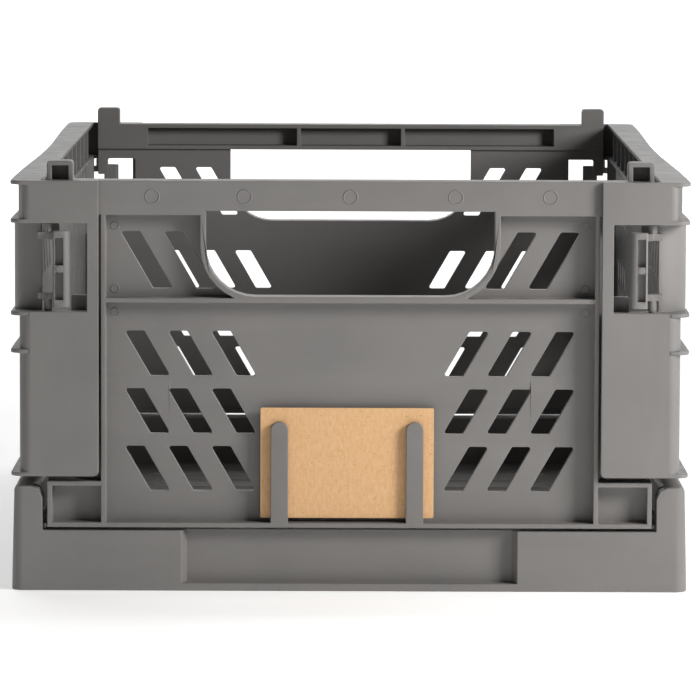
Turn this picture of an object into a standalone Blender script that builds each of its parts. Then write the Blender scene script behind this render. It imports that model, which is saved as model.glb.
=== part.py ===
"""A small collapsible storage crate, standing open.

A slotted tray, two end walls that fold inwards, two side walls whose corner posts wrap round the end
walls, four sprung corner latches and a loose label card. Metres, +Z up, the length along Y, the middle
of the tray's underside at the origin.
"""

import math

import bmesh
import bpy
from mathutils import Matrix, Vector

MM = 0.001

# Overall size, and what every moulding shares
WIDTH = 171 * MM  # X, over the flanges of the side walls
LENGTH = 266 * MM  # Y, over the faces of the corner posts
RIM_HEIGHT = 104 * MM
WALL = 1.6 * MM  # main plates
RIB = 1.2 * MM  # stiffening ribs and flanges
GAP = 0.3 * MM  # between pieces that touch
PIN_PLAY = 0.2 * MM  # radial, round each hinge pin
PAST = 1 * MM  # how far a cutter runs past the face it opens
ARC_STEPS = 2  # chords in a small rounded corner
ROD_SIDES = 14
FLAT_ANGLE = math.radians(0.05)  # faces closer to one plane than this become one face
SMOOTH_ANGLE = math.radians(35)

# Tray
FLOOR = 2.0 * MM
TRAY_DRAFT = 0.8 * MM  # how much narrower the side beams are at the top, each side
SIDE_BEAM_TOP = 26.6 * MM
SIDE_BEAM_WIDTH = 7.9 * MM
END_BEAM_TOP = 15.4 * MM
END_BEAM_DEPTH = 12.5 * MM
TRAY_CORNER = 3 * MM
BEAM_EDGES = (0.8 * MM, 3.0 * MM)  # rounding of a side beam's top, outside and inside
DIP_HALF_WIDTH = 42.5 * MM  # the recess in the face of each end beam
DIP_SET_BACK = 3.6 * MM
DIP_SLOPE = 1.2 * MM
BEAM_CELLS = 6  # hollows under each side beam
FLOOR_SLOT = (32 * MM, 6 * MM)
FLOOR_SLOT_PITCH = (42 * MM, 16.5 * MM)
FLOOR_MARGIN = (10 * MM, 15 * MM)  # plain floor beside the slots, at least
FLOOR_SLOT_ROUND = 0.8  # corner radius, as a share of half a slot's width

# Stacking tabs on the end walls
TAB_WIDTH = 6.6 * MM
TAB_RISE = 4.8 * MM
TAB_WALL = 1.2 * MM
TAB_CORNER = 0.8 * MM

# End walls
END_WALL_PLAY = 1.2 * MM  # between a wall and the side beam, each side
END_WALL_DEPTH = 7.4 * MM
END_PANEL_SET = 4.4 * MM  # from the outer edges of the ribs in to the panel
END_FOOT_RISE = 0.8 * MM  # above the end beam
END_AXIS_SET = 6.2 * MM  # hinge axis, in from the outer edges of the ribs
END_AXIS_RISE = 2.2 * MM  # hinge axis, above the bottom rib
END_PIN_RADIUS = 2.0 * MM
END_PIN_REACH = 2.3 * MM  # into the side beam
END_RIM = 8.7 * MM
END_RIM_LIP = 1.1 * MM  # how far the rim's outer plate hangs below its lower flange
END_RIB_SET = 1.1 * MM  # from a post's inner edge to the middle of the upright rib beside it
FOOT_BOX_HEIGHT = 11.7 * MM
CORNER_BLOCK = 15.1 * MM
CHANNEL_RIB_X = 15.7 * MM

# Hand hole in each end wall, and the rib beside it, below the rim
HAND_DROP = 29.2 * MM
HAND_HALF_WIDTH = 36.4 * MM
HAND_CORNER = 12.5 * MM
HAND_BEAD = 1.4 * MM
MID_RIB_DROP = 29.6 * MM

# Window in an end wall behind each latch: steps in its outline, in from the wall's end and below the rim
WINDOW_STEP_SET = (6.0 * MM, 3.0 * MM)
WINDOW_DROP = 10.5 * MM
WINDOW_STEP_DROP = (29.3 * MM, 15.3 * MM)

# Slots, leaning outwards towards the top
SLOT_LEAN = math.radians(30)
SLOT_WIDTH = 4.95 * MM
SLOT_PITCH = 10.92 * MM
SLOT_CORNER = 0.5 * MM
SLOT_FOOT = 25.0 * MM  # foot of the lowest row
SLOT_HEIGHT = 11.4 * MM
SLOT_ROW = 14.65 * MM  # from one low row to the next
HIGH_SLOT_DROP = (27.5 * MM, 13.1 * MM)  # foot and head of the row under the rim
END_HIGH_SLOT_SET = 4.15 * MM  # in from the upright rib
END_LOW_SLOT_SET = 5.2 * MM
END_HIGH_SLOTS = 2
END_LOW_SLOTS = 3
SIDE_SLOT_SET = 30 * MM  # in from the face of the post
SIDE_SLOTS = 4  # in a row, each side of the plain middle

# Side walls and their corner posts
SIDE_WALL_DEPTH = 7.5 * MM
SIDE_FOOT_RISE = 2.7 * MM  # above the side beam
SIDE_PANEL_SET = 4.1 * MM  # from the flange edge in to the panel
SIDE_BOW = 1.3 * MM  # the flanges pull in this much at mid-length
FLANGE_DROPS = (34.0 * MM, 43.5 * MM)  # underside of each lower flange, below the rim
RIM_FLANGE_DROP = 9.7 * MM
FLANGE = 1.0 * MM
RIM_RIB_PITCH = 21 * MM
RIM_RIB_MARGIN = 5 * MM
POST_SET = 2.2 * MM  # from the flange edge in to the side of the post
POST_WIDTH = 20.0 * MM
POST_LENGTH = 16 * MM
POST_PLATE = 1.5 * MM
POST_CORNER = 3.0 * MM
POST_LOW_CORNER = 1.2 * MM

# Side wall hinges
SIDE_AXIS_SET = 4.0 * MM  # from the flange edge
SIDE_AXIS_RISE = 6.4 * MM  # above the side beam
SIDE_PIN_RADIUS = 1.6 * MM
LUG_LENGTH = 10 * MM
LUG_WALL = 1.4 * MM  # round the bore
LUG_MOUTH = 0.7  # share of the bore that its snap-in mouth opens
LUG_SET = 41 * MM  # from the face of the post to the nearest lug
LUG_NEAR = 0.337  # where the inner lugs are, as a share of the outer ones' distance from mid-length
NOTCH_PLAY = 0.6 * MM
KNUCKLE_LENGTH = 4 * MM

# Latch pocket and latch. Distances across the crate are in from the side of the post, and heights are below
# the rim.
POCKET_JAMB = 2.9 * MM  # from the post's inner edge to the pocket
POCKET_WINDOW_SET = 5.5 * MM  # how far back the pocket's floor reaches
SCOOP_RISE = 1.15  # how far the pocket's curved back runs in, as a share of its width
SCOOP_POWER = 1.3  # above 1, the curve is flatter beside the latch
SCOOP_SLANT = 0.75
SCOOP_STEPS = 7
LATCH_PIN_SET = 7.15 * MM
LATCH_AXIS_SET = 3.4 * MM  # behind the face of the post
LATCH_PIN_RADIUS = 0.9 * MM
LATCH_STEM_RADIUS = 1.05 * MM
LATCH_BAR_SET = (12.8 * MM, 8.5 * MM)
LATCH_BAR_DROP = (31.9 * MM, 12.7 * MM)
LATCH_BAR_DEPTH = 2.5 * MM
LATCH_CUP_SET = (11.15 * MM, 9.1 * MM)
LATCH_CUP_DROPS = ((30.1 * MM, 23.2 * MM), (21.3 * MM, 14.4 * MM))
LATCH_CUP_DEPTH = 1.5 * MM
LATCH_ARM_SET = 4.6 * MM
LATCH_ARM_DROPS = ((30.0 * MM, 28.4 * MM), (14.8 * MM, 13.1 * MM))
LATCH_ARM_DEPTH = 1.7 * MM
LATCH_NOSE_REACH = 1.85 * MM  # behind the latch axis
LATCH_NOSE_WIDTH = 1.5 * MM
LATCH_EDGES = (1.2 * MM, 0.5 * MM, 0.8 * MM)  # rounding of the bar: inner front, outer front, inner back
LATCH_GATE_RADIUS = 0.85 * MM  # the small boss between the thumb recesses

# Label card and the two prongs that hold it
CARD_SIZE = (43.8 * MM, 0.6 * MM, 28.0 * MM)
CARD_CORNER = 0.4 * MM
CARD_SHIFT = -0.65 * MM
CARD_SEAT = 0.8 * MM  # height of the small seats that it stands on
PRONG_X = 17.1 * MM
PRONG_WIDTH = 4.4 * MM
PRONG_TOP = 43.1 * MM
PRONG_DEPTH = 1.5 * MM
PRONG_STEPS = 8

# Finishes: base colour, roughness
GREY_PLASTIC = ((0.205, 0.195, 0.188, 1.0), 0.48)
KRAFT_BOARD = ((0.70, 0.45, 0.22, 1.0), 0.9)

# Worked out from the sizes above
HALF_WIDTH = WIDTH / 2
HALF_LENGTH = LENGTH / 2
END_OUTER = HALF_LENGTH - POST_PLATE - GAP  # outer edges of an end wall's ribs
TRAY_END = END_OUTER  # the posts hang past the tray's ends, so that they swing down outside them
END_PANEL = END_OUTER - END_PANEL_SET  # outer face of its panel
END_INNER = END_OUTER - END_WALL_DEPTH
END_FOOT = END_BEAM_TOP + END_FOOT_RISE
END_AXIS = (END_OUTER - END_AXIS_SET, END_FOOT + END_AXIS_RISE)
BEAM_INNER = HALF_WIDTH - SIDE_BEAM_WIDTH
END_WALL_HALF = BEAM_INNER - END_WALL_PLAY
POST_SIDE = HALF_WIDTH - POST_SET
POST_INNER = POST_SIDE - POST_WIDTH
END_RIB_X = POST_INNER - END_RIB_SET
SIDE_INNER = HALF_WIDTH - SIDE_WALL_DEPTH
SIDE_PANEL = HALF_WIDTH - SIDE_PANEL_SET  # outer face of a side wall's panel
SIDE_FOOT = SIDE_BEAM_TOP + SIDE_FOOT_RISE
SIDE_AXIS_X = HALF_WIDTH - SIDE_AXIS_SET
SIDE_AXIS_HEIGHT = SIDE_BEAM_TOP + SIDE_AXIS_RISE
TAB_X = END_WALL_HALF - TAB_WIDTH
RIM_LOW = RIM_HEIGHT - END_RIM
HAND_LOW = RIM_HEIGHT - HAND_DROP
MID_RIB_TOP = RIM_HEIGHT - MID_RIB_DROP
HIGH_SLOT = tuple(RIM_HEIGHT - drop for drop in HIGH_SLOT_DROP)
SLOT_ROWS = int((MID_RIB_TOP - RIB - SLOT_FOOT + SLOT_ROW - SLOT_HEIGHT) / SLOT_ROW)
LOW_SLOTS = [(SLOT_FOOT + i * SLOT_ROW, SLOT_FOOT + i * SLOT_ROW + SLOT_HEIGHT) for i in range(SLOT_ROWS)]
RIM_RIBS = 2 * int((HALF_LENGTH - POST_LENGTH - RIM_RIB_MARGIN) / RIM_RIB_PITCH) + 1
FLOOR_COLUMNS = int(2 * (BEAM_INNER - FLOOR_MARGIN[0]) / FLOOR_SLOT_PITCH[0])
FLOOR_ROWS = int(2 * (TRAY_END - END_BEAM_DEPTH - FLOOR_MARGIN[1]) / FLOOR_SLOT_PITCH[1])
LUG_RADIUS = SIDE_PIN_RADIUS + PIN_PLAY + LUG_WALL
LUG_OUTER = HALF_LENGTH - LUG_SET
LUG_PLACES = [sign * y for y in (LUG_OUTER, LUG_OUTER * LUG_NEAR) for sign in (-1, 1)]
FLANGE_UNDERSIDES = tuple(RIM_HEIGHT - drop for drop in FLANGE_DROPS)
RIM_FLANGE_TOP = RIM_HEIGHT - RIM_FLANGE_DROP
POCKET_INNER = POST_INNER + POCKET_JAMB
POCKET_FLOOR = FLANGE_UNDERSIDES[0] + FLANGE
POCKET_TOP = RIM_FLANGE_TOP - FLANGE
LATCH_AXIS_X = POST_SIDE - LATCH_PIN_SET
LATCH_AXIS_Y = HALF_LENGTH - LATCH_AXIS_SET
LATCH_BAR_X = tuple(POST_SIDE - inset for inset in LATCH_BAR_SET)
LATCH_BAR_Z = tuple(RIM_HEIGHT - drop for drop in LATCH_BAR_DROP)
LATCH_CUP_X = tuple(POST_SIDE - inset for inset in LATCH_CUP_SET)
LATCH_CUP_Z = [(RIM_HEIGHT - low, RIM_HEIGHT - high) for low, high in LATCH_CUP_DROPS]
LATCH_ARM_OUT = POST_SIDE - LATCH_ARM_SET
LATCH_ARM_Z = [(RIM_HEIGHT - low, RIM_HEIGHT - high) for low, high in LATCH_ARM_DROPS]


# Shapes. Each one is a closed mesh, which a Boolean joins or cuts away.

PULL_AXES = {"x": (1, 2, 0), "y": (0, 2, 1), "z": (0, 1, 2)}  # the outline's two axes, then the pull


def prism(outline, axis, low, high):
    """The outline, pulled along an axis."""
    first, second, along = PULL_AXES[axis]
    shape = bmesh.new()
    rings = []
    for level in (low, high):
        ring = []
        for a, b in outline:
            corner = [0.0, 0.0, 0.0]
            corner[first] = a
            corner[second] = b
            corner[along] = level
            ring.append(shape.verts.new(corner))
        shape.faces.new(ring)
        rings.append(ring)
    lower, upper = rings
    for i in range(len(outline)):
        shape.faces.new((lower[i - 1], lower[i], upper[i], upper[i - 1]))
    return to_mesh(shape)


def to_mesh(shape):
    bmesh.ops.recalc_face_normals(shape, faces=shape.faces)
    mesh = bpy.data.meshes.new("shape")
    shape.to_mesh(mesh)
    shape.free()
    return mesh


def block(x, y, z):
    """A box from its (low, high) pairs."""
    outline = [(x[0], y[0]), (x[1], y[0]), (x[1], y[1]), (x[0], y[1])]
    return prism(outline, "z", z[0], z[1])


def rod(axis, centre, radius, low, high):
    """A round bar along an axis, centred on a point in the plane across it."""
    turns = [2 * math.pi * i / ROD_SIDES for i in range(ROD_SIDES)]
    outline = [(centre[0] + radius * math.cos(t), centre[1] + radius * math.sin(t)) for t in turns]
    return prism(outline, axis, low, high)


def arc(centre, radius, start, end, steps):
    """Points round a centre, from one angle to another."""
    turns = [start + (end - start) * i / steps for i in range(steps + 1)]
    return [(centre[0] + radius * math.cos(t), centre[1] + radius * math.sin(t)) for t in turns]


def rounded(corners, radius=0.0):
    """The outline with its corners rounded. A corner may give its own radius as a third value."""
    points = []
    for i, corner in enumerate(corners):
        here = Vector(corner[:2])
        size = corner[2] if len(corner) > 2 else radius
        if size <= 0:
            points.append(tuple(here))
            continue
        back = (Vector(corners[i - 1][:2]) - here).normalized()
        on = (Vector(corners[(i + 1) % len(corners)][:2]) - here).normalized()
        half = back.angle(on) / 2
        centre = here + (back + on).normalized() * (size / math.sin(half))
        first = here + back * (size / math.tan(half)) - centre
        last = here + on * (size / math.tan(half)) - centre
        start = math.atan2(first.y, first.x)
        sweep = (math.atan2(last.y, last.x) - start + math.pi) % (2 * math.pi) - math.pi
        points += arc(centre, size, start, start + sweep, ARC_STEPS)
    return points


def joined(shapes):
    """Shapes that don't touch, as one mesh."""
    merged = bmesh.new()
    for shape in shapes:
        merged.from_mesh(shape)
        bpy.data.meshes.remove(shape)
    return to_mesh(merged)


def mirrored(shape, axis):
    """A copy of the shape on the other side of the middle plane across an axis."""
    copy = bmesh.new()
    copy.from_mesh(shape)
    flip = [-1 if axis == letter else 1 for letter in "xyz"]
    bmesh.ops.transform(copy, matrix=Matrix.Diagonal(flip).to_4x4(), verts=copy.verts)
    return to_mesh(copy)


def both_sides(shapes, axis="x"):
    """The shapes, and the same again on the other side."""
    return shapes + [mirrored(shape, axis) for shape in shapes]


def booleaned(mesh, operation, shapes):
    """The mesh after one Boolean with a group of shapes."""
    if not shapes:
        return mesh
    scene = bpy.context.scene.collection
    group = bpy.data.collections.new("operands")
    scene.children.link(group)
    body = bpy.data.objects.new("body", mesh)
    scene.objects.link(body)
    operands = [bpy.data.objects.new("operand", shape) for shape in shapes]
    for operand in operands:
        group.objects.link(operand)
    modifier = body.modifiers.new(operation, "BOOLEAN")
    modifier.operation = operation
    modifier.operand_type = "COLLECTION"
    modifier.collection = group
    modifier.solver = "EXACT"
    graph = bpy.context.evaluated_depsgraph_get()
    result = bpy.data.meshes.new_from_object(body.evaluated_get(graph))
    for spent in [body] + operands:
        bpy.data.objects.remove(spent, do_unlink=True)
    bpy.data.collections.remove(group)
    return result


def moulding(adds, cuts=(), last=()):
    """One solid: the added shapes, less the cut shapes, with the last shapes put on afterwards."""
    mesh = booleaned(adds[0], "UNION", list(adds[1:]))
    mesh = booleaned(mesh, "DIFFERENCE", list(cuts))
    mesh = booleaned(mesh, "UNION", list(last))
    flat = bmesh.new()
    flat.from_mesh(mesh)
    bmesh.ops.dissolve_limit(flat, angle_limit=FLAT_ANGLE, verts=flat.verts, edges=flat.edges)
    flat.to_mesh(mesh)
    flat.free()
    return mesh


def material(name, finish):
    colour, roughness = finish
    made = bpy.data.materials.new(name)
    made.use_nodes = True
    shader = made.node_tree.nodes["Principled BSDF"]
    shader.inputs["Base Color"].default_value = colour
    shader.inputs["Roughness"].default_value = roughness
    shader.inputs["Metallic"].default_value = 0.0
    made.diffuse_color = colour
    return made


def piece(name, mesh, pivot, finish, turned=False):
    """An object whose origin is its hinge or slide axis. A turned one stands at the other end or side."""
    obj = bpy.data.objects.new(name, mesh)
    bpy.context.scene.collection.objects.link(obj)
    if turned:
        pivot = (-pivot[0], -pivot[1], pivot[2])
        obj.rotation_euler = (0, 0, math.pi)
    obj.location = pivot
    obj.data.shade_smooth()
    obj.data.set_sharp_from_angle(angle=SMOOTH_ANGLE)
    if not mesh.materials:
        mesh.materials.append(material(name + "_finish", finish))
    return obj


def about(mesh, pivot):
    """The mesh, moved so that the pivot is its origin."""
    mesh.transform(Matrix.Translation(-Vector(pivot)))
    return mesh


def slot(edge, low, high):
    """Outline of one leaning slot: its outer top corner is at the edge, and its foot is further in."""
    lean = (high - low) * math.tan(SLOT_LEAN)
    corners = [(edge, high), (edge - SLOT_WIDTH, high), (edge - SLOT_WIDTH - lean, low), (edge - lean, low)]
    return rounded(corners, SLOT_CORNER)


# Tray


def beam_outline():
    """Section of a side beam, in X and Z."""
    outer_top = HALF_WIDTH - TRAY_DRAFT
    return rounded(
        [
            (BEAM_INNER, 0.0),
            (HALF_WIDTH, 0.0),
            (outer_top, SIDE_BEAM_TOP, BEAM_EDGES[0]),
            (BEAM_INNER, SIDE_BEAM_TOP, BEAM_EDGES[1]),
        ]
    )


def side_beam():
    """The beam that a side wall stands on, with its four hinge lugs."""
    shapes = [prism(beam_outline(), "y", -TRAY_END, TRAY_END)]
    for y in LUG_PLACES:
        head = arc((SIDE_AXIS_X, SIDE_AXIS_HEIGHT), LUG_RADIUS, 0, math.pi, 8)
        root = SIDE_BEAM_TOP - WALL / 2
        outline = head + [(SIDE_AXIS_X - LUG_RADIUS, root), (SIDE_AXIS_X + LUG_RADIUS, root)]
        shapes.append(prism(outline, "y", y - LUG_LENGTH / 2, y + LUG_LENGTH / 2))
    return shapes


def side_beam_cuts():
    """Hollows under the beam, hinge bores with their mouths, and the sockets of the end walls."""
    cuts = []
    cell = (2 * TRAY_END - 2 * WALL + RIB) / BEAM_CELLS
    for i in range(BEAM_CELLS):
        start = -TRAY_END + WALL + i * cell
        hollow = (BEAM_INNER + WALL, HALF_WIDTH - TRAY_DRAFT - WALL)
        cuts.append(block(hollow, (start, start + cell - RIB), (-PAST, SIDE_BEAM_TOP - WALL)))
    bore = SIDE_PIN_RADIUS + PIN_PLAY
    mouth = bore * LUG_MOUTH
    for y in LUG_PLACES:
        ends = (y - LUG_LENGTH / 2 - PAST, y + LUG_LENGTH / 2 + PAST)
        cuts.append(rod("y", (SIDE_AXIS_X, SIDE_AXIS_HEIGHT), bore, *ends))
        above = (SIDE_AXIS_HEIGHT, SIDE_AXIS_HEIGHT + LUG_RADIUS + PAST)
        cuts.append(block((SIDE_AXIS_X - mouth, SIDE_AXIS_X + mouth), ends, above))
    socket = END_PIN_RADIUS + PIN_PLAY
    through = (BEAM_INNER - PAST, BEAM_INNER + WALL + PAST)
    for y in (-END_AXIS[0], END_AXIS[0]):
        cuts.append(rod("x", (y, END_AXIS[1]), socket, *through))
        lead = socket * LUG_MOUTH
        cuts.append(block(through, (y - lead, y + lead), (END_AXIS[1], SIDE_BEAM_TOP + PAST)))
    return cuts


def end_beam():
    """The low beam under an end wall."""
    inner = TRAY_END - END_BEAM_DEPTH
    return [block((-BEAM_INNER - WALL, BEAM_INNER + WALL), (-TRAY_END, -inner), (0, END_BEAM_TOP))]


def end_beam_cuts():
    """The recess in the face of the beam, and the hollows under it, which the stacking tabs enter."""
    outer = -TRAY_END
    back = outer + DIP_SET_BACK
    inner = outer + END_BEAM_DEPTH
    dip = [
        (-DIP_HALF_WIDTH, outer - PAST),
        (DIP_HALF_WIDTH, outer - PAST),
        (DIP_HALF_WIDTH, outer),
        (DIP_HALF_WIDTH - DIP_SLOPE, back),
        (-DIP_HALF_WIDTH + DIP_SLOPE, back),
        (-DIP_HALF_WIDTH, outer),
    ]
    cuts = [prism(dip, "z", FLOOR, END_BEAM_TOP + PAST)]
    low_middle = (RIB / 2, DIP_HALF_WIDTH - DIP_SLOPE)
    centre = (back + WALL, inner - WALL)
    cuts += both_sides([block(low_middle, centre, (-PAST, END_BEAM_TOP - WALL))])
    wide = (DIP_HALF_WIDTH + WALL, END_RIB_X)
    full = (outer + WALL, inner - WALL)
    cuts += both_sides([block(wide, full, (-PAST, END_BEAM_TOP - WALL))])
    corner = (END_RIB_X + RIB, BEAM_INNER)
    cuts += both_sides([block(corner, full, (-PAST, END_BEAM_TOP - WALL))])
    return cuts


def floor_slots():
    """Rows of round-ended slots across the floor."""
    half_x, half_y = FLOOR_SLOT[0] / 2, FLOOR_SLOT[1] / 2
    shapes = []
    for column in range(FLOOR_COLUMNS):
        x = (column - (FLOOR_COLUMNS - 1) / 2) * FLOOR_SLOT_PITCH[0]
        for row in range(FLOOR_ROWS):
            y = (row - (FLOOR_ROWS - 1) / 2) * FLOOR_SLOT_PITCH[1]
            corners = [
                (x - half_x, y - half_y),
                (x + half_x, y - half_y),
                (x + half_x, y + half_y),
                (x - half_x, y + half_y),
            ]
            shapes.append(prism(rounded(corners, half_y * FLOOR_SLOT_ROUND), "z", -PAST, FLOOR + PAST))
    return joined(shapes)


def tray():
    plan = [(-HALF_WIDTH, -TRAY_END), (HALF_WIDTH, -TRAY_END)]
    plan += [(HALF_WIDTH, TRAY_END), (-HALF_WIDTH, TRAY_END)]
    floor = prism(plan, "z", 0.0, FLOOR)
    ends = both_sides(end_beam(), "y")
    end_cuts = both_sides(end_beam_cuts(), "y")
    corners = prism(corner_wedge(), "z", -PAST, SIDE_BEAM_TOP + PAST)
    corner_cuts = both_sides(both_sides([corners]), "y")
    cuts = both_sides(side_beam_cuts()) + end_cuts + corner_cuts + [floor_slots()]
    return moulding([floor] + both_sides(side_beam()) + ends, cuts)


def corner_wedge():
    """What rounding one upright corner of the tray takes away, in plan."""
    centre = (HALF_WIDTH - TRAY_CORNER, -TRAY_END + TRAY_CORNER)
    curve = arc(centre, TRAY_CORNER, 0, -math.pi / 2, 5)
    beyond = [
        (HALF_WIDTH - TRAY_CORNER, -TRAY_END - PAST),
        (HALF_WIDTH + PAST, -TRAY_END - PAST),
        (HALF_WIDTH + PAST, -TRAY_END + TRAY_CORNER),
    ]
    return curve + beyond


# End walls. The shapes are those of the front one, which faces -Y.


def end_wall_frame():
    """Panel, rim, ribs, foot boxes and prongs."""
    outer, face, inner = -END_OUTER, -END_PANEL, -END_INNER
    rim_floor = RIM_LOW + END_RIM_LIP
    across = (-END_WALL_HALF, END_WALL_HALF)
    shapes = [
        block(across, (face, face + WALL), (END_FOOT, rim_floor + RIB / 2)),
        block(across, (outer, outer + WALL), (RIM_LOW, RIM_HEIGHT)),
        block(across, (outer, inner), (RIM_HEIGHT - RIB, RIM_HEIGHT)),
        block(across, (outer, inner), (rim_floor, rim_floor + RIB)),
        block(across, (outer, inner), (END_FOOT, END_FOOT + RIB)),
        block((-END_RIB_X, END_RIB_X), (outer, face + WALL / 2), (MID_RIB_TOP - RIB, MID_RIB_TOP)),
    ]
    rib_x = (END_RIB_X - RIB / 2, END_RIB_X + RIB / 2)
    box_top = END_FOOT + FOOT_BOX_HEIGHT
    reach = (END_RIB_X, END_WALL_HALF)
    mirrored_shapes = [
        block(rib_x, (outer, face + WALL / 2), (END_FOOT, RIM_HEIGHT - RIB / 2)),
        block(reach, (outer, face + WALL / 2), (box_top - RIB, box_top)),
        block((END_WALL_HALF - RIB, END_WALL_HALF), (outer, inner), (END_FOOT, box_top)),
        block((CHANNEL_RIB_X - RIB / 2, CHANNEL_RIB_X + RIB / 2), (outer, inner), (rim_floor, RIM_HEIGHT)),
    ]
    block_x = (END_WALL_HALF - CORNER_BLOCK, END_WALL_HALF)
    mirrored_shapes += [
        block(block_x, (inner - WALL, inner), (rim_floor, RIM_HEIGHT)),
        block((block_x[0], block_x[0] + RIB), (outer, inner), (rim_floor, RIM_HEIGHT)),
    ]
    tab_side = [
        (TAB_X, RIM_HEIGHT - RIB / 2),
        (END_WALL_HALF, RIM_HEIGHT - RIB / 2),
        (END_WALL_HALF, RIM_HEIGHT + TAB_RISE, TAB_CORNER),
        (TAB_X, RIM_HEIGHT + TAB_RISE, TAB_CORNER),
    ]
    mirrored_shapes.append(prism(rounded(tab_side), "y", outer + WALL + GAP, inner))
    bead = prism(hand_outline(HAND_BEAD), "y", outer, face + WALL / 2)
    prongs = prong(CARD_SHIFT - PRONG_X) + prong(CARD_SHIFT + PRONG_X)
    return shapes + both_sides(mirrored_shapes) + [bead] + prongs


def hand_outline(grow=0.0):
    """Outline of the hand hole, or of the bead round it."""
    low = HAND_LOW - grow
    high = RIM_LOW + END_RIM_LIP
    if grow:
        high += RIB / 2
    half = HAND_HALF_WIDTH + grow
    corner = HAND_CORNER + grow
    turned = math.pi / 2
    left = arc((-half + corner, low + corner), corner, 2 * turned, 3 * turned, 8)
    right = arc((half - corner, low + corner), corner, 3 * turned, 4 * turned, 8)
    return [(half, high), (-half, high)] + left + right


def prong(x):
    """One of the two upright fingers in front of the label card, and the seat behind its foot."""
    half = PRONG_WIDTH / 2
    foot = END_FOOT + RIB / 2
    outline = arc((x, PRONG_TOP - half), half, 0, math.pi, PRONG_STEPS)
    outline += [(x - half, foot), (x + half, foot)]
    seat_y = (-END_OUTER + PRONG_DEPTH / 2, -END_PANEL + WALL / 2)
    return [
        prism(outline, "y", -END_OUTER, -END_OUTER + PRONG_DEPTH),
        block((x - half / 2, x + half / 2), seat_y, (foot, END_FOOT + RIB + CARD_SEAT)),
    ]


def end_wall_cuts():
    """Slots, hand hole, the window behind each latch and the hollows of the stacking tabs."""
    outer, face, inner = -END_OUTER, -END_PANEL, -END_INNER
    slots = []
    for i in range(END_HIGH_SLOTS):
        slots.append(slot(END_RIB_X - END_HIGH_SLOT_SET - i * SLOT_PITCH, *HIGH_SLOT))
    for low, high in LOW_SLOTS:
        for i in range(END_LOW_SLOTS):
            slots.append(slot(END_RIB_X - END_LOW_SLOT_SET - i * SLOT_PITCH, low, high))
    cut_y = (face - PAST, face + WALL + PAST)
    slot_shapes = both_sides([joined([prism(outline, "y", *cut_y) for outline in slots])])
    side = END_WALL_HALF + PAST
    window_inner = POCKET_INNER - PAST
    window_top = RIM_HEIGHT - WINDOW_DROP
    foot_step, head_step = [END_WALL_HALF - inset for inset in WINDOW_STEP_SET]
    low_step, high_step = [RIM_HEIGHT - drop for drop in WINDOW_STEP_DROP]
    window = rounded(
        [
            (side, POCKET_FLOOR),
            (side, high_step),
            (head_step, high_step),
            (head_step, window_top, SLOT_CORNER),
            (window_inner, window_top, SLOT_CORNER),
            (window_inner, low_step, SLOT_CORNER),
            (foot_step, low_step, SLOT_CORNER),
            (foot_step, POCKET_FLOOR),
        ]
    )
    tab_hollow = (TAB_X + TAB_WALL, END_WALL_HALF - TAB_WALL)
    hollow_z = (RIM_HEIGHT, RIM_HEIGHT + TAB_RISE - TAB_WALL)
    hollow_y = (outer - PAST, inner - TAB_WALL)
    cuts = both_sides(
        [
            prism(window, "y", *cut_y),
            block(tab_hollow, hollow_y, hollow_z),
        ]
    )
    hand = prism(hand_outline(), "y", outer - PAST, inner + PAST)
    return slot_shapes + cuts + [hand]


def end_wall_pins():
    """The hinge pin on each foot."""
    boss = END_PIN_RADIUS + RIB / 2
    start = END_WALL_HALF - RIB / 2
    shapes = [
        rod("x", (-END_AXIS[0], END_AXIS[1]), END_PIN_RADIUS, start, BEAM_INNER + END_PIN_REACH),
        rod("x", (-END_AXIS[0], END_AXIS[1]), boss, END_WALL_HALF - RIB, END_WALL_HALF + RIB / 2),
    ]
    return both_sides(shapes)


def end_walls():
    pivot = (0.0, -END_AXIS[0], END_AXIS[1])
    mesh = about(moulding(end_wall_frame(), end_wall_cuts(), end_wall_pins()), pivot)
    piece("front_end_wall", mesh, pivot, GREY_PLASTIC)
    piece("rear_end_wall", mesh, pivot, GREY_PLASTIC, turned=True)


# Side walls. The shapes are those of the right one, which faces +X.


def bowed(inner, outer, steps=8):
    """Plan of a flange along the whole side, with its outer edge pulled in at mid-length."""
    outline = [(inner, HALF_LENGTH), (inner, -HALF_LENGTH)]
    outline += arc((outer - POST_CORNER, -HALF_LENGTH + POST_CORNER), POST_CORNER, -math.pi / 2, 0, 4)
    reach = HALF_LENGTH - POST_LENGTH
    for i in range(steps + 1):
        share = -1 + 2 * i / steps
        outline.append((outer - SIDE_BOW * math.cos(share * math.pi / 2) ** 2, share * reach))
    outline += arc((outer - POST_CORNER, HALF_LENGTH - POST_CORNER), POST_CORNER, 0, math.pi / 2, 4)
    return outline


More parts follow.
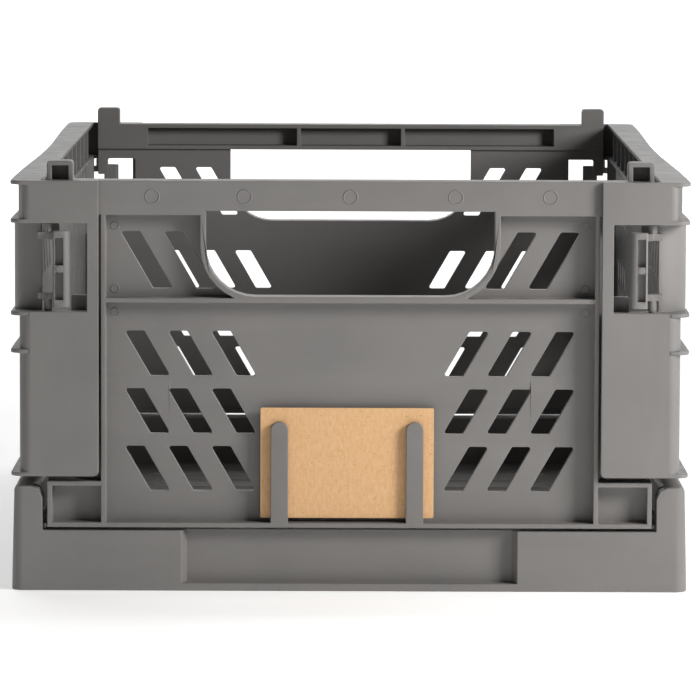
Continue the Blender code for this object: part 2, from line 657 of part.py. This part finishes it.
def side_wall_frame():
    """Panel, flanges, rim and its ribs."""
    panel_in = SIDE_PANEL - WALL
    along = (-HALF_LENGTH + POST_PLATE / 2, HALF_LENGTH - POST_PLATE / 2)
    between = (-HALF_LENGTH + POST_LENGTH - RIB / 2, HALF_LENGTH - POST_LENGTH + RIB / 2)
    shapes = [
        block((panel_in, SIDE_PANEL), between, (SIDE_FOOT, POCKET_TOP + FLANGE / 2)),
        block((POST_SIDE - WALL, POST_SIDE), along, (POCKET_TOP, RIM_HEIGHT - FLANGE / 2)),
        prism(bowed(SIDE_INNER, HALF_WIDTH), "z", RIM_HEIGHT - FLANGE, RIM_HEIGHT),
        prism(bowed(SIDE_INNER, HALF_WIDTH), "z", POCKET_TOP, RIM_FLANGE_TOP),
        prism(bowed(SIDE_INNER, HALF_WIDTH), "z", SIDE_FOOT, SIDE_FOOT + FLANGE),
    ]
    for low in FLANGE_UNDERSIDES:
        shapes.append(prism(bowed(panel_in + WALL / 2, HALF_WIDTH), "z", low, low + FLANGE))
    for i in range(RIM_RIBS):
        y = (i - (RIM_RIBS - 1) / 2) * RIM_RIB_PITCH
        rib = (y - RIB / 2, y + RIB / 2)
        shapes.append(block((SIDE_INNER + GAP, POST_SIDE - WALL / 2), rib, (POCKET_TOP, RIM_HEIGHT)))
    return shapes


def post():
    """The front corner post: a face plate, a rounded corner and a side, with the latch pocket's back."""
    outer = -HALF_LENGTH
    knee = POST_SIDE - POST_CORNER
    face = rounded(
        [
            (knee, SIDE_FOOT),
            (knee, RIM_HEIGHT),
            (POST_INNER, RIM_HEIGHT),
            (POST_INNER, SIDE_FOOT, POST_LOW_CORNER),
        ]
    )
    centre = (knee, outer + POST_CORNER)
    shell = arc(centre, POST_CORNER, -math.pi / 2, 0, 5)
    back = outer + POST_LENGTH
    shell += [(POST_SIDE, back), (SIDE_PANEL - WALL / 2, back), (SIDE_PANEL - WALL / 2, back - RIB)]
    shell += [(POST_SIDE - POST_PLATE, back - RIB)]
    shell += arc(centre, POST_CORNER - POST_PLATE, 0, -math.pi / 2, 3)
    shell += [(knee - PAST, outer + POST_PLATE), (knee - PAST, outer)]
    floor_y = (outer + POST_PLATE / 2, outer + POCKET_WINDOW_SET)
    return [
        prism(face, "y", outer, outer + POST_PLATE),
        prism(shell, "z", SIDE_FOOT, RIM_HEIGHT),
        block((POCKET_INNER - WALL, SIDE_PANEL), floor_y, (POCKET_FLOOR - FLANGE, POCKET_FLOOR)),
        block((LATCH_BAR_X[1] - WALL, SIDE_PANEL), floor_y, (POCKET_TOP, RIM_FLANGE_TOP)),
    ]


def scoop(thick):
    """Plan of the pocket's curved back, from beside the latch out to the flange edge."""
    start = (SIDE_INNER - GAP, -HALF_LENGTH + POCKET_WINDOW_SET - GAP)
    reach = HALF_WIDTH - GAP - start[0]
    rise = reach * SCOOP_RISE
    front = []
    for i in range(SCOOP_STEPS + 1):
        turn = math.pi / 2 * i / SCOOP_STEPS
        along = math.sin(turn) ** SCOOP_POWER
        front.append((start[0] + reach * along, start[1] + rise * (1 - math.cos(turn))))
    if not thick:
        return front
    rear = [(x - thick * SCOOP_SLANT, y + thick) for x, y in front[1:]]
    return front + rear[::-1] + [(front[0][0], front[0][1] + thick)]


def post_cuts():
    """The latch pocket, open to the front and the side, and the holes for the latch's pins."""
    front = scoop(0.0)
    pocket = [(POCKET_INNER, -HALF_LENGTH - PAST), (HALF_WIDTH + PAST, -HALF_LENGTH - PAST)]
    pocket += [(HALF_WIDTH + PAST, front[-1][1])]
    pocket += front[::-1]
    pocket += [(POCKET_INNER, front[0][1])]
    hole = LATCH_PIN_RADIUS + PIN_PLAY
    pins = (POCKET_FLOOR - FLANGE - PAST, RIM_FLANGE_TOP + PAST / 2)
    return [
        prism(pocket, "z", POCKET_FLOOR, POCKET_TOP),
        rod("z", (LATCH_AXIS_X, -LATCH_AXIS_Y), hole, *pins),
    ]


def side_wall_slots():
    outlines = []
    for low, high in [HIGH_SLOT] + LOW_SLOTS[1:]:
        for i in range(SIDE_SLOTS):
            outlines.append(slot(HALF_LENGTH - SIDE_SLOT_SET - i * SLOT_PITCH, low, high))
    cut_x = (SIDE_PANEL - WALL - PAST, SIDE_PANEL + PAST)
    return both_sides([joined([prism(outline, "x", *cut_x) for outline in outlines])], "y")


def hinge_notches():
    """Room for the tray's lugs, at the foot of the wall."""
    half = LUG_LENGTH / 2 + NOTCH_PLAY
    top = SIDE_AXIS_HEIGHT + LUG_RADIUS + NOTCH_PLAY
    across = (SIDE_INNER - PAST, HALF_WIDTH + PAST)
    return [block(across, (y - half, y + half), (SIDE_FOOT - PAST, top)) for y in LUG_PLACES]


def hinge_pins():
    """A pin across each notch, held by a knuckle at each end."""
    half = LUG_LENGTH / 2 + NOTCH_PLAY
    radius = SIDE_PIN_RADIUS + RIB
    shapes = []
    for y in LUG_PLACES:
        ends = (y - half - KNUCKLE_LENGTH / 2, y + half + KNUCKLE_LENGTH / 2)
        shapes.append(rod("y", (SIDE_AXIS_X, SIDE_AXIS_HEIGHT), SIDE_PIN_RADIUS, *ends))
        for side in (-1, 1):
            start = y + side * half
            knuckle = sorted((start, start + side * KNUCKLE_LENGTH))
            outline = arc((SIDE_AXIS_X, SIDE_AXIS_HEIGHT), radius, 0, math.pi, 7)
            outline += [(SIDE_AXIS_X - radius, SIDE_FOOT + FLANGE / 2)]
            outline += [(SIDE_AXIS_X + radius, SIDE_FOOT + FLANGE / 2)]
            shapes.append(prism(outline, "y", *knuckle))
    return shapes


def side_walls():
    pivot = (SIDE_AXIS_X, 0.0, SIDE_AXIS_HEIGHT)
    adds = side_wall_frame() + both_sides(post(), "y")
    cuts = both_sides(post_cuts(), "y") + side_wall_slots() + hinge_notches()
    back = prism(scoop(RIB), "z", POCKET_FLOOR - FLANGE / 2, RIM_FLANGE_TOP - FLANGE / 2)
    last = both_sides([back], "y") + hinge_pins()
    mesh = about(moulding(adds, cuts, last), pivot)
    piece("right_side_wall", mesh, pivot, GREY_PLASTIC)
    piece("left_side_wall", mesh, pivot, GREY_PLASTIC, turned=True)


# Latches. The shapes are those of the one at the front right corner.


def latch_shapes():
    face = -HALF_LENGTH + GAP
    bar = rounded(
        [
            (LATCH_BAR_X[0], face, LATCH_EDGES[0]),
            (LATCH_BAR_X[1], face, LATCH_EDGES[1]),
            (LATCH_BAR_X[1], face + LATCH_BAR_DEPTH),
            (LATCH_BAR_X[0], face + LATCH_BAR_DEPTH, LATCH_EDGES[2]),
        ]
    )
    axis = (LATCH_AXIS_X, -LATCH_AXIS_Y)
    arm_y = (axis[1] - LATCH_ARM_DEPTH / 2, axis[1] + LATCH_ARM_DEPTH / 2)
    shapes = [prism(bar, "z", *LATCH_BAR_Z)]
    pin_ends = (POCKET_FLOOR - FLANGE, RIM_FLANGE_TOP - GAP)
    stem_ends = (POCKET_FLOOR + GAP, POCKET_TOP - GAP)
    bar_back = face + LATCH_BAR_DEPTH - PAST
    for (low, high), pin_end, stem_end in zip(LATCH_ARM_Z, pin_ends, stem_ends):
        middle = (low + high) / 2
        shapes.append(block((LATCH_BAR_X[1] - 2 * PAST, LATCH_ARM_OUT), arm_y, (low, high)))
        shapes.append(block((LATCH_BAR_X[1] - 2 * PAST, axis[0]), (bar_back, arm_y[1]), (low, high)))
        shapes.append(rod("z", axis, LATCH_STEM_RADIUS, *sorted((middle, stem_end))))
        shapes.append(rod("z", axis, LATCH_PIN_RADIUS, *sorted((middle, pin_end))))
        nose = (axis[0] - LATCH_NOSE_WIDTH, axis[0])
        shapes.append(block(nose, (axis[1], axis[1] + LATCH_NOSE_REACH), (low + GAP, high - GAP)))
    gate = ((LATCH_CUP_X[0] + LATCH_CUP_X[1]) / 2, (LATCH_CUP_Z[0][1] + LATCH_CUP_Z[1][0]) / 2)
    shapes.append(rod("y", gate, LATCH_GATE_RADIUS, face - GAP / 2, face + GAP))
    return shapes


def latch_cups():
    """The two thumb recesses in the face of the bar."""
    face = -HALF_LENGTH + GAP
    return [block(LATCH_CUP_X, (face - PAST, face + LATCH_CUP_DEPTH), cup) for cup in LATCH_CUP_Z]


def latches():
    pivot = (LATCH_AXIS_X, -LATCH_AXIS_Y, 0.0)
    right = about(moulding(latch_shapes(), latch_cups()), pivot)
    left = mirrored(right, "x")
    left_pivot = (-LATCH_AXIS_X, -LATCH_AXIS_Y, 0.0)
    piece("front_right_latch", right, pivot, GREY_PLASTIC)
    piece("rear_left_latch", right, pivot, GREY_PLASTIC, turned=True)
    piece("front_left_latch", left, left_pivot, GREY_PLASTIC)
    piece("rear_right_latch", left, left_pivot, GREY_PLASTIC, turned=True)


def label_card():
    """A piece of board that stands on the bottom rib behind the prongs."""
    half = CARD_SIZE[0] / 2
    back = -END_OUTER + PRONG_DEPTH + GAP
    foot = END_FOOT + RIB + CARD_SEAT + GAP
    corners = [(CARD_SHIFT - half, foot), (CARD_SHIFT + half, foot)]
    corners += [(CARD_SHIFT + half, foot + CARD_SIZE[2]), (CARD_SHIFT - half, foot + CARD_SIZE[2])]
    pivot = (CARD_SHIFT, back, foot)
    mesh = about(prism(rounded(corners, CARD_CORNER), "y", back, back + CARD_SIZE[1]), pivot)
    piece("label_card", mesh, pivot, KRAFT_BOARD)


def main():
    for obj in list(bpy.data.objects):
        bpy.data.objects.remove(obj, do_unlink=True)
    piece("base_tray", tray(), (0.0, 0.0, 0.0), GREY_PLASTIC)
    end_walls()
    side_walls()
    latches()
    label_card()


main()
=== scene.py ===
import math
import bmesh
import bpy
from mathutils import Matrix, Vector


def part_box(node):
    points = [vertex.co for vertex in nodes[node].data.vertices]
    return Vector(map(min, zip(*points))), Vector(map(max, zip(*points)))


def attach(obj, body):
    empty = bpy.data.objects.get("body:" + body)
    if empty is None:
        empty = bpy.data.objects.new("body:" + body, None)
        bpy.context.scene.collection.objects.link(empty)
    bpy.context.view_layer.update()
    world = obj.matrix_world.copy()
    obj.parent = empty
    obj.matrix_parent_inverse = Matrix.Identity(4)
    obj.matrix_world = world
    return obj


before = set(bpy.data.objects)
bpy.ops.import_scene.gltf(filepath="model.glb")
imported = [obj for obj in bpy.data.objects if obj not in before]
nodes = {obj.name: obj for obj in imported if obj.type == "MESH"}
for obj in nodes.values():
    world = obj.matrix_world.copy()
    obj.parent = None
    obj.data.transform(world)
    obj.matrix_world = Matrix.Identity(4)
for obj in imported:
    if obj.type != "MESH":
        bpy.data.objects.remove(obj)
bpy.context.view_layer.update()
print("frame loaded:", len(nodes), "nodes")

mm = 0.001


def linkObject(name, mesh):
    made = bpy.data.objects.new(name, mesh)
    bpy.context.scene.collection.objects.link(made)
    return made


def newMaterial(name):
    made = bpy.data.materials.new(name)
    made.use_nodes = True
    tree = made.node_tree
    return made, tree, tree.nodes["Principled BSDF"]


def addNode(tree, kind, **settings):
    node = tree.nodes.new(kind)
    for key, value in settings.items():
        setattr(node, key, value)
    return node


def noiseOver(tree, coordinates, scale, detail=2.0, stretch=(1, 1, 1), rough=0.5):
    # noise in metres, stretched along one direction if asked
    mapping = addNode(tree, "ShaderNodeMapping")
    mapping.inputs["Scale"].default_value = stretch
    noise = addNode(tree, "ShaderNodeTexNoise")
    noise.inputs["Scale"].default_value = scale
    noise.inputs["Detail"].default_value = detail
    noise.inputs["Roughness"].default_value = rough
    tree.links.new(coordinates, mapping.inputs["Vector"])
    tree.links.new(mapping.outputs["Vector"], noise.inputs["Vector"])
    return noise.outputs["Fac"]


def ramp(tree, source, fromRange, toRange):
    # stretches one range of a texture to another
    node = addNode(tree, "ShaderNodeMapRange")
    node.inputs["From Min"].default_value = fromRange[0]
    node.inputs["From Max"].default_value = fromRange[1]
    node.inputs["To Min"].default_value = toRange[0]
    node.inputs["To Max"].default_value = toRange[1]
    tree.links.new(source, node.inputs["Value"])
    return node.outputs["Result"]


def mixColours(tree, factor, first, second):
    node = addNode(tree, "ShaderNodeMix", data_type="RGBA")
    for socket, value in ((node.inputs[6], first), (node.inputs[7], second)):
        if isinstance(value, tuple):
            socket.default_value = value
        else:
            tree.links.new(value, socket)
    tree.links.new(factor, node.inputs[0])
    return node.outputs[2]


def bumpFrom(tree, height, depth, under=None):
    # a bump of that depth, on top of another one if given
    bump = addNode(tree, "ShaderNodeBump")
    bump.inputs["Strength"].default_value = 1.0
    bump.inputs["Distance"].default_value = depth
    tree.links.new(height, bump.inputs["Height"])
    if under:
        tree.links.new(under, bump.inputs["Normal"])
    return bump.outputs["Normal"]


# moulded polypropylene: warm grey, satin, with faint flow clouds and a fine spark grain
plastic = {
    "colour": (0.205, 0.197, 0.191, 1.0),
    "cloudColour": (0.180, 0.174, 0.170, 1.0),
    "flowColour": (0.228, 0.221, 0.216, 1.0),
    "cloudSize": 34,      # clouds to a metre
    "cloudRange": (0.35, 0.70),
    "flowSize": 60,
    "flowRange": (0.50, 0.76),
    "flowAmount": 0.55,
    "flowStretch": {"x": (0.12, 1, 1), "z": (1, 1, 0.14)},
    "patchSize": 180,     # duller and shinier patches
    "patchRange": (0.3, 0.7),
    "roughness": (0.40, 0.52),
    "waveSize": 70,
    "waveDepth": 0.05 * mm,
    "grainSize": 2600,
    "grainRough": 0.65,
    "grainDepth": 0.016 * mm,
    "ior": 1.49,
    "specular": 0.42,
}


def plasticMaterial(name, flowAlong):
    made, tree, shader = newMaterial(name)
    where = addNode(tree, "ShaderNodeTexCoord").outputs["Object"]
    clouds = ramp(tree, noiseOver(tree, where, plastic["cloudSize"], 3.0), plastic["cloudRange"], (0.0, 1.0))
    streaks = noiseOver(tree, where, plastic["flowSize"], 4.0, plastic["flowStretch"][flowAlong], 0.6)
    flow = ramp(tree, streaks, plastic["flowRange"], (0.0, plastic["flowAmount"]))
    base = mixColours(tree, clouds, plastic["colour"], plastic["cloudColour"])
    base = mixColours(tree, flow, base, plastic["flowColour"])
    tree.links.new(base, shader.inputs["Base Color"])
    patches = noiseOver(tree, where, plastic["patchSize"], 3.0)
    rough = ramp(tree, patches, plastic["patchRange"], plastic["roughness"])
    tree.links.new(rough, shader.inputs["Roughness"])
    grain = noiseOver(tree, where, plastic["grainSize"], 3.0, rough=plastic["grainRough"])
    waves = noiseOver(tree, where, plastic["waveSize"], 1.0)
    slow = bumpFrom(tree, waves, plastic["waveDepth"])
    fine = bumpFrom(tree, grain, plastic["grainDepth"], slow)
    tree.links.new(fine, shader.inputs["Normal"])
    shader.inputs["IOR"].default_value = plastic["ior"]
    shader.inputs["Specular IOR Level"].default_value = plastic["specular"]
    return made


# the label card: brown kraft board with fibres and darker flecks
board = {
    "colour": (0.690, 0.415, 0.205, 1.0),
    "fibreColour": (0.780, 0.495, 0.270, 1.0),
    "fleckColour": (0.450, 0.245, 0.110, 1.0),
    "fibreSize": 1500,
    "fibreRange": (0.35, 0.7),
    "fibreStretch": (1, 1, 0.3),
    "crossStretch": (0.25, 1, 1),
    "fibreRough": 0.7,
    "fleckSize": 2400,
    "fleckRange": (0.62, 0.76),
    "fleckStretch": (0.5, 1, 1),
    "fleckAmount": 0.6,
    "depth": 0.03 * mm,
    "roughness": 0.88,
    "specular": 0.25,
}


def boardMaterial(name):
    made, tree, shader = newMaterial(name)
    where = addNode(tree, "ShaderNodeTexCoord").outputs["Object"]
    size, rough = board["fibreSize"], board["fibreRough"]
    upright = noiseOver(tree, where, size, 4.0, board["fibreStretch"], rough)
    fibre = ramp(tree, upright, board["fibreRange"], (0.0, 1.0))
    crossing = noiseOver(tree, where, size, 4.0, board["crossStretch"], rough)
    specks = noiseOver(tree, where, board["fleckSize"], 2.0, board["fleckStretch"])
    fleck = ramp(tree, specks, board["fleckRange"], (0.0, board["fleckAmount"]))
    base = mixColours(tree, fibre, board["colour"], board["fibreColour"])
    base = mixColours(tree, fleck, base, board["fleckColour"])
    tree.links.new(base, shader.inputs["Base Color"])
    tree.links.new(bumpFrom(tree, crossing, board["depth"]), shader.inputs["Normal"])
    shader.inputs["Roughness"].default_value = board["roughness"]
    shader.inputs["Specular IOR Level"].default_value = board["specular"]
    return made


materials = {
    "tray": plasticMaterial("trayPlastic", "x"),
    "endWall": plasticMaterial("endWallPlastic", "x"),
    "sideWall": plasticMaterial("sideWallPlastic", "z"),
    "latch": plasticMaterial("latchPlastic", "z"),
    "card": boardMaterial("kraftBoard"),
}
print("materials made:", len(materials))

# every moulded edge is a little round: the radius in mm for each piece
edgeRounding = {
    "base_tray": (0.30, "tray"),
    "front_end_wall": (0.26, "endWall"),
    "rear_end_wall": (0.26, "endWall"),
    "left_side_wall": (0.26, "sideWall"),
    "right_side_wall": (0.26, "sideWall"),
    "front_left_latch": (0.15, "latch"),
    "front_right_latch": (0.15, "latch"),
    "rear_left_latch": (0.15, "latch"),
    "rear_right_latch": (0.15, "latch"),
    "label_card": (0.06, "card"),
}
rounding = {
    "merge": 0.002 * mm,
    "segments": 2,
    "sharperThan": 60,    # degrees
    "flatFaceWeight": 80,
}


def softenEdges(obj, radius):
    weld = obj.modifiers.new("weld", "WELD")
    weld.merge_threshold = rounding["merge"]
    bevel = obj.modifiers.new("round", "BEVEL")
    bevel.width = radius * mm
    bevel.segments = rounding["segments"]
    bevel.limit_method = "ANGLE"
    bevel.angle_limit = math.radians(rounding["sharperThan"])
    bevel.offset_type = "WIDTH"
    bevel.loop_slide = False
    bevel.use_clamp_overlap = False
    normals = obj.modifiers.new("normals", "WEIGHTED_NORMAL")
    normals.keep_sharp = False
    normals.weight = rounding["flatFaceWeight"]


for nodeName, (radius, finish) in edgeRounding.items():
    node = nodes[nodeName]
    for slot in node.material_slots:
        slot.material = materials[finish]
    softenEdges(node, radius)
print("edges rounded and finishes put on:", len(edgeRounding), "nodes")


# round marks that the ejector pins leave on the outer face of each rim, and small ones beside the slots.
# Places are in mm.
ejectorMark = {
    "line": 0.24 * mm,
    "height": 0.10 * mm,
    "sunk": 0.04 * mm,
    "radius": 1.75 * mm,
    "sides": 28,
    "rimPlaces": (-49.8, -26.6, 0.0, 26.5, 50.3),
    "rimHeight": 100.0,
    "smallRadius": 1.0 * mm,
    "smallSides": 20,
    "smallPlaces": ((59.35, 92.3), (59.35, 76.4), (59.35, 70.4)),
    "panelSet": 4.4 * mm,  # the panel is this far behind the rim's face
}


def ringInto(shape, centre, radius, normal, sides):
    # a thin raised ring standing on a wall that faces along y
    line, height, sunk = ejectorMark["line"], ejectorMark["height"], ejectorMark["sunk"]
    section = [(-line, -sunk), (-line * 0.5, height), (line * 0.5, height), (line, -sunk)]
    loops = []
    for i in range(sides):
        turn = 2 * math.pi * i / sides
        loop = []
        for across, out in section:
            reach = radius + across
            x = centre[0] + reach * math.cos(turn)
            z = centre[2] + reach * math.sin(turn)
            loop.append(shape.verts.new((x, centre[1] + normal * out, z)))
        loops.append(loop)
    for i in range(sides):
        here, following = loops[i], loops[(i + 1) % sides]
        for j in range(len(section)):
            k = (j + 1) % len(section)
            shape.faces.new((here[j], here[k], following[k], following[j]))


def ejectorMarks(name, body, end):
    low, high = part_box(body)
    face = low.y if end < 0 else high.y
    panel = face - end * ejectorMark["panelSet"]
    shape = bmesh.new()
    for x in ejectorMark["rimPlaces"]:
        spot = (x * mm, face, ejectorMark["rimHeight"] * mm)
        ringInto(shape, spot, ejectorMark["radius"], end, ejectorMark["sides"])
    for x, z in ejectorMark["smallPlaces"]:
        for side in (-1, 1):
            spot = (side * x * mm, panel, z * mm)
            ringInto(shape, spot, ejectorMark["smallRadius"], end, ejectorMark["smallSides"])
    bmesh.ops.recalc_face_normals(shape, faces=shape.faces)
    mesh = bpy.data.meshes.new(name)
    shape.to_mesh(mesh)
    shape.free()
    mesh.shade_smooth()
    marks = linkObject(name, mesh)
    mesh.materials.append(materials["endWall"])
    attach(marks, body)


ejectorMarks("frontEjectorMarks", "front_end_wall", -1)
ejectorMarks("rearEjectorMarks", "rear_end_wall", 1)
print("ejector marks made")

# floor and backdrop in one swept sheet
studio = {
    "halfWidth": 4.0,
    "front": -3.0,
    "level": (-0.6, 0.6),  # rows of the floor on each side of the crate
    "back": 3.2,
    "turn": 1.2,           # radius where the floor turns up
    "turnSteps": 12,
    "height": 3.2,
    "colour": (0.90, 0.90, 0.90, 1.0),
    "toneLift": 1.02,      # the paler patches
    "toneSize": 2.0,
    "toneRange": (0.3, 0.7),
    "glow": 0.42,          # the sheet is lit from behind a little
    "roughness": 0.9,
    "specular": 0.1,
}


def backdropMaterial():
    made, tree, shader = newMaterial("palePaper")
    where = addNode(tree, "ShaderNodeTexCoord").outputs["Object"]
    tone = ramp(tree, noiseOver(tree, where, studio["toneSize"]), studio["toneRange"], (0.0, 1.0))
    pale = studio["colour"]
    paler = tuple(min(1.0, part * studio["toneLift"]) for part in pale[:3]) + (1.0,)
    tree.links.new(mixColours(tree, tone, pale, paler), shader.inputs["Base Color"])
    shader.inputs["Roughness"].default_value = studio["roughness"]
    shader.inputs["Specular IOR Level"].default_value = studio["specular"]
    shader.inputs["Emission Color"].default_value = (1.0, 1.0, 1.0, 1.0)
    shader.inputs["Emission Strength"].default_value = studio["glow"]
    return made


def backdrop():
    floorEnd = studio["back"] - studio["turn"]
    profile = [(y, 0.0) for y in (studio["front"], *studio["level"], floorEnd)]
    for i in range(1, studio["turnSteps"] + 1):
        turn = math.pi / 2 * i / studio["turnSteps"]
        along = floorEnd + studio["turn"] * math.sin(turn)
        profile.append((along, studio["turn"] * (1 - math.cos(turn))))
    profile.append((studio["back"], studio["height"]))
    shape = bmesh.new()
    rows = []
    for y, z in profile:
        rows.append([shape.verts.new((x, y, z)) for x in (-studio["halfWidth"], 0.0, studio["halfWidth"])])
    for lower, upper in zip(rows, rows[1:]):
        for i in range(2):
            shape.faces.new((lower[i], lower[i + 1], upper[i + 1], upper[i]))
    mesh = bpy.data.meshes.new("studioSweep")
    shape.to_mesh(mesh)
    shape.free()
    mesh.shade_smooth()
    mesh.materials.append(backdropMaterial())
    linkObject("studioSweep", mesh)


backdrop()
print("floor laid")

# soft lights: a near one to the front right, a weak fill on the left, one on the backdrop
warm = (1.0, 0.985, 0.965)
white = (1.0, 1.0, 1.0)
lights = {
    "keyRight": {
        "at": (0.42, -0.38, 0.26),
        "look": (0.05, -0.12, 0.06),
        "size": 0.16,
        "watts": 2.9,
        "colour": warm,
    },
    "fillLeft": {
        "at": (-1.0, -1.5, 0.75),
        "look": (0.0, -0.1, 0.05),
        "size": 1.0,
        "watts": 0.5,
        "colour": white,
    },
    "backdropWash": {
        "at": (0.0, 1.3, 2.2),
        "look": (0.0, 2.6, 0.0),
        "size": 2.0,
        "watts": 45.0,
        "colour": white,
    },
}
room = {"colour": white, "strength": 0.03}


def softLight(name, spec):
    lamp = bpy.data.lights.new(name, "AREA")
    lamp.shape = "SQUARE"
    lamp.size = spec["size"]
    lamp.energy = spec["watts"]
    lamp.color = spec["colour"]
    made = linkObject(name, lamp)
    made.location = spec["at"]
    aim = Vector(spec["look"]) - Vector(spec["at"])
    made.rotation_euler = aim.to_track_quat("-Z", "Y").to_euler()


for name, spec in lights.items():
    softLight(name, spec)
world = bpy.data.worlds.new("studioRoom")
world.use_nodes = True
surroundings = world.node_tree.nodes["Background"]
surroundings.inputs["Color"].default_value = room["colour"] + (1.0,)
surroundings.inputs["Strength"].default_value = room["strength"]
bpy.context.scene.world = world
bpy.context.scene.view_settings.view_transform = "Standard"
print("lights set")

# a long lens, straight on to the end with the card and a little above the rim. Angles are in degrees.
cameraSettings = {
    "at": (0.0, -1.3797, 0.1878),
    "pitchDown": 5.78,
    "roll": 0.206,
    "lens": 256.2,
    "sensor": 36.0,
    "sees": (0.05, 50.0),
}
cameraData = bpy.data.cameras.new("camera")
cameraData.lens = cameraSettings["lens"]
cameraData.sensor_width = cameraSettings["sensor"]
cameraData.clip_start, cameraData.clip_end = cameraSettings["sees"]
camera = linkObject("camera", cameraData)
camera.location = cameraSettings["at"]
tilt = Matrix.Rotation(math.radians(90 - cameraSettings["pitchDown"]), 3, "X")
roll = Matrix.Rotation(math.radians(cameraSettings["roll"]), 3, "Z")
camera.rotation_euler = (tilt @ roll).to_euler()
bpy.context.scene.camera = camera
print("camera placed")
